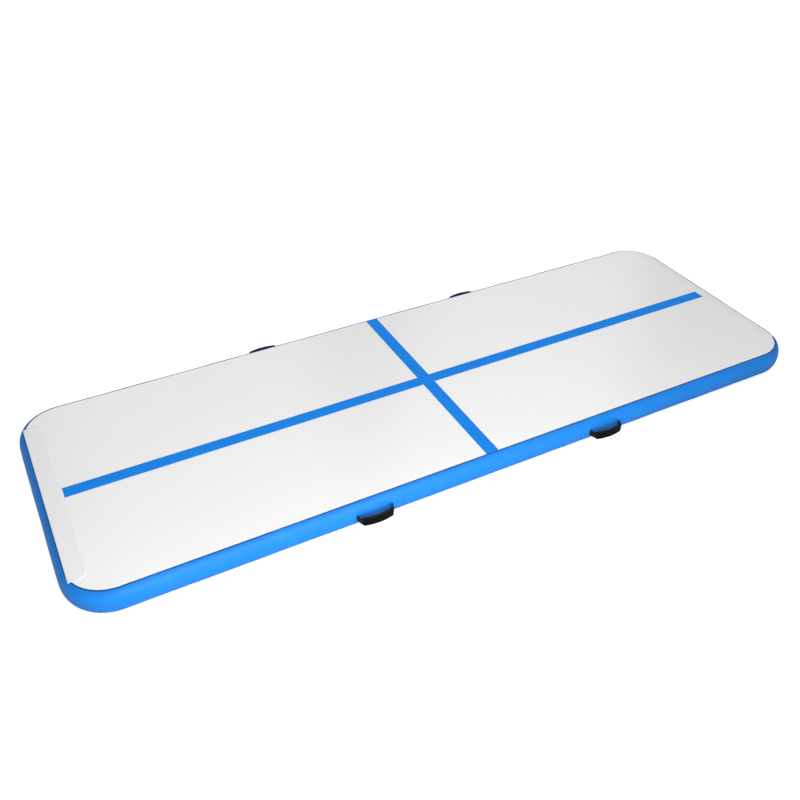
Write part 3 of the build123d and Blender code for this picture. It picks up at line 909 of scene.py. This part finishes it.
def rounded_path(corners, cut, passes=3):
    """A path through plan corners, each rounded within a distance of it by repeated corner cutting."""
    path = [corners[0]]
    for before, corner, after in zip(corners, corners[1:], corners[2:]):
        back, ahead = before - corner, after - corner
        path.append(corner + back.normalized() * min(cut, back.length * LONGEST_CUT))
        path.append(corner)
        path.append(corner + ahead.normalized() * min(cut, ahead.length * LONGEST_CUT))
    path.append(corners[-1])
    for _ in range(passes):
        smoother = [path[0]]
        for a, b in zip(path, path[1:]):
            smoother += [a.lerp(b, 0.25), a.lerp(b, 0.75)]
        path = smoother + [path[-1]]
    return path


def strap_path(handle):
    """Centre line of the webbing in plan (along, out), from one tab's end to the other's."""
    span = math.asin(KNEE / handle.arc_radius)
    half = [Vector((TAB_END, TAB_LIFT)), Vector((FOOT, TAB_LIFT))]
    for i in range(STRAP_STEPS_ALONG + 1):
        angle = span * (1 - i / STRAP_STEPS_ALONG)
        half.append(Vector(handle.arch(angle, GRIP_THICKNESS / 2)))
    return rounded_path(half + [Vector((-p.x, p.y)) for p in reversed(half[:-1])], STRAP_ROUNDING)


def make_strap(handle):
    """One length of webbing: a tab on the wall, a leg, through the grip, a leg and a tab."""
    path = strap_path(handle)
    widths = [-1 + 2 * i / STRAP_STEPS_ACROSS for i in range(STRAP_STEPS_ACROSS + 1)]
    section = [(1, width) for width in widths] + [(-1, -width) for width in widths]
    points = []
    for i, centre in enumerate(path):
        before, after = path[max(i - 1, 0)], path[min(i + 1, len(path) - 1)]
        run = (after - before).normalized()
        normal = Vector((run.y, -run.x))
        for face, width in section:
            fullness = SELVEDGE_SHARE if abs(width) == 1 else 1.0
            spot = centre + normal * face * fullness * STRAP_THICKNESS / 2
            up = width * STRAP_HALF_WIDTH
            free = handle.point(spot.x, spot.y, up)
            stuck = handle.on_wall(spot.x, up, spot.y)
            points.append(stuck.lerp(free, ease((spot.y - STUCK) / FREE)))
    piece = build(f"{handle.name}_webbing", points, capped(len(path), len(section)), webbing)
    soften(piece)
    settle(piece, "webbing", None, f"{handle.name}_strap", f"{handle.name}_anchor_tabs")
    start, end = handle.point(0, BLEND_START, 0), handle.point(0, BLEND_END, 0)
    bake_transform(piece)
    return piece


def make_patches(handle):
    """The two wall-coloured patches over the webbing's tabs, raised where a tab lies under them."""
    patches = []
    for end in (-1, 1):
        def place(p, lift, end=end):
            from_foot = PATCH_CENTRE + p.x - FOOT
            over_tab = ease((STRAP_HALF_WIDTH + PATCH_SLOPE - abs(p.y)) / PATCH_SLOPE)
            over_tab *= ease((TAB_END - FOOT + PATCH_PAST_TAB - from_foot) / PATCH_SLOPE)
            over_tab *= ease((from_foot + PATCH_BEFORE_FOOT) / FOOT_SLOPE)
            base = over_tab * (STRAP_THICKNESS + TAB_CLEARANCE) if lift else -GLUE_SINK
            return handle.on_wall(end * (PATCH_CENTRE + p.x), p.y, base + lift)

        outline = rounded_outline(PATCH_LENGTH, PATCH_HEIGHT, PATCH_CORNER, PATCH_SPACING)
        patches.append(thin_sheet("patch", outline, middle_of(outline), PATCH_SHARES, place,
                                  PATCH_THICKNESS, blue_vinyl))
    piece = joined(f"{handle.name}_wall_patches", patches)
    return settle(piece, "wall_vinyl", ROOT, f"{handle.name}_anchor_patches")


# ---------------------------------------------------------------- carried-over CAD nodes
CARRIED = {
    "drop_stitch_threads": thread_fabric,
    "inner_wall_band": liner_vinyl,
    "valve_gasket": seal_rubber,
    "valve_body": valve_plastic,
    "valve_nut": valve_plastic,
    "valve_disc": seal_rubber,
    "valve_stem": valve_plastic,
    "valve_cap": valve_plastic,
    "cap_seal": seal_rubber,
    "tether_anchor": tether_rubber,
    "cap_tether": tether_rubber,
}


def paint_carried():
    """Procedural materials on the CAD nodes that are shown as they are."""
    for name, material in CARRIED.items():
        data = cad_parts[name].data
        data.materials.clear()
        data.materials.append(material)


# ---------------------------------------------------------------- stage
def make_floor():
    """Plain pale floor, kept white to the eye by a little glow of its own."""
    material = shaded("floor", (0.5, 0.5, 0.5), 0.85, blotch=0.002)
    tree = material.node_tree
    shader = tree.nodes["Principled BSDF"]
    shader.inputs["Emission Color"].default_value = (1, 1, 1, 1)
    seen = tree.nodes.new("ShaderNodeLightPath").outputs["Is Camera Ray"]
    tree.links.new(join(tree, "MULTIPLY", seen, FLOOR_GLOW), shader.inputs["Emission Strength"])
    signs = ((-1, -1), (1, -1), (1, 1), (-1, 1))
    corners = [Vector((x * FLOOR_REACH, y * FLOOR_REACH, FLOOR_HEIGHT)) for x, y in signs]
    floor = build("floor", corners, [(0, 1, 2, 3)], material)


def from_camera(forward, right, height):
    """A place that far ahead and to the right of the camera, at a height above the floor."""
    ahead = Vector((math.sin(CAMERA_AZIMUTH), math.cos(CAMERA_AZIMUTH)))
    across = Vector((ahead.y, -ahead.x))
    plan = CAMERA_PLACE.xy + ahead * forward + across * right
    return Vector((plan.x, plan.y, height))


def make_light(name, place, target, size, power, mirrored=True):
    """A soft rectangular light aimed at a point, kept out of reflections if it isn't mirrored."""
    data = bpy.data.lights.new(name, "AREA")
    data.shape = "RECTANGLE"
    data.size, data.size_y = size
    data.energy = power
    lamp = bpy.data.objects.new(name, data)
    lamp.location = place
    lamp.visible_camera = False
    lamp.visible_glossy = mirrored
    lamp.rotation_mode = "QUATERNION"
    lamp.rotation_quaternion = (Vector(target) - Vector(place)).to_track_quat("-Z", "Y")
    bpy.context.scene.collection.objects.link(lamp)


def make_camera():
    """The camera, at the mat's viewing angle."""
    data = bpy.data.cameras.new("camera")
    data.lens = LENS
    data.sensor_width = SENSOR
    camera = bpy.data.objects.new("camera", data)
    turn = Matrix.Rotation(-CAMERA_AZIMUTH, 4, "Z") @ Matrix.Rotation(math.pi / 2 - CAMERA_DROP, 4, "X")
    camera.matrix_world = Matrix.Translation(CAMERA_PLACE) @ turn @ Matrix.Rotation(CAMERA_ROLL, 4, "Z")
    bpy.context.scene.collection.objects.link(camera)
    bpy.context.scene.camera = camera


def light_scene():
    """Plain soft studio light: a pale room, a panel overhead, two behind and one low in front."""
    world = bpy.data.worlds.new("studio")
    world.use_nodes = True
    tree = world.node_tree
    split = tree.nodes.new("ShaderNodeSeparateXYZ")
    tree.links.new(tree.nodes.new("ShaderNodeTexCoord").outputs["Generated"], split.inputs["Vector"])
    sky = node(tree, "ShaderNodeMapRange", From_Min=DIM_BELOW, From_Max=BRIGHT_ABOVE, To_Min=HORIZON_STRENGTH,
               To_Max=WORLD_STRENGTH)
    sky.interpolation_type = "SMOOTHSTEP"
    tree.links.new(split.outputs["Z"], sky.inputs["Value"])
    seen = tree.nodes.new("ShaderNodeLightPath").outputs["Is Camera Ray"]
    backdrop = tree.nodes["Background"]
    backdrop.inputs["Color"].default_value = (1, 1, 1, 1)
    tree.links.new(join(tree, "MAXIMUM", sky.outputs["Result"], seen), backdrop.inputs["Strength"])
    bpy.context.scene.world = world
    bpy.context.scene.view_settings.view_transform = "Standard"
    centre = Vector((0, 0, 0))
    left = from_camera(BEHIND_DISTANCE, BEHIND_LEFT, BEHIND_HEIGHT)
    right = from_camera(BEHIND_DISTANCE, BEHIND_RIGHT, BEHIND_HEIGHT)
    make_light("overhead", OVERHEAD_PLACE, OVERHEAD_TARGET, OVERHEAD_SIZE, OVERHEAD_POWER)
    make_light("behind_left", left, centre, BEHIND_LEFT_SIZE, BEHIND_LEFT_POWER)
    make_light("behind_right", right, centre, BEHIND_RIGHT_SIZE, BEHIND_RIGHT_POWER)
    make_light("front", FRONT_PLACE, FRONT_TARGET, FRONT_SIZE, FRONT_POWER, mirrored=False)


make_wall()
make_top()
make_bottom()
make_centre_stripe()
make_cross_stripe()
make_end_strip(-1, "end_strip_left")
make_end_strip(1, "end_strip_right")
make_joint()
make_valve_patch()
make_spring()
for row in ("front", "back"):
    for place_name in ("left", "right"):
        handle = Handle(f"{row}_{place_name}")
        make_grip(handle)
        make_strap(handle)
        make_patches(handle)
paint_carried()
make_floor()
light_scene()
make_camera()
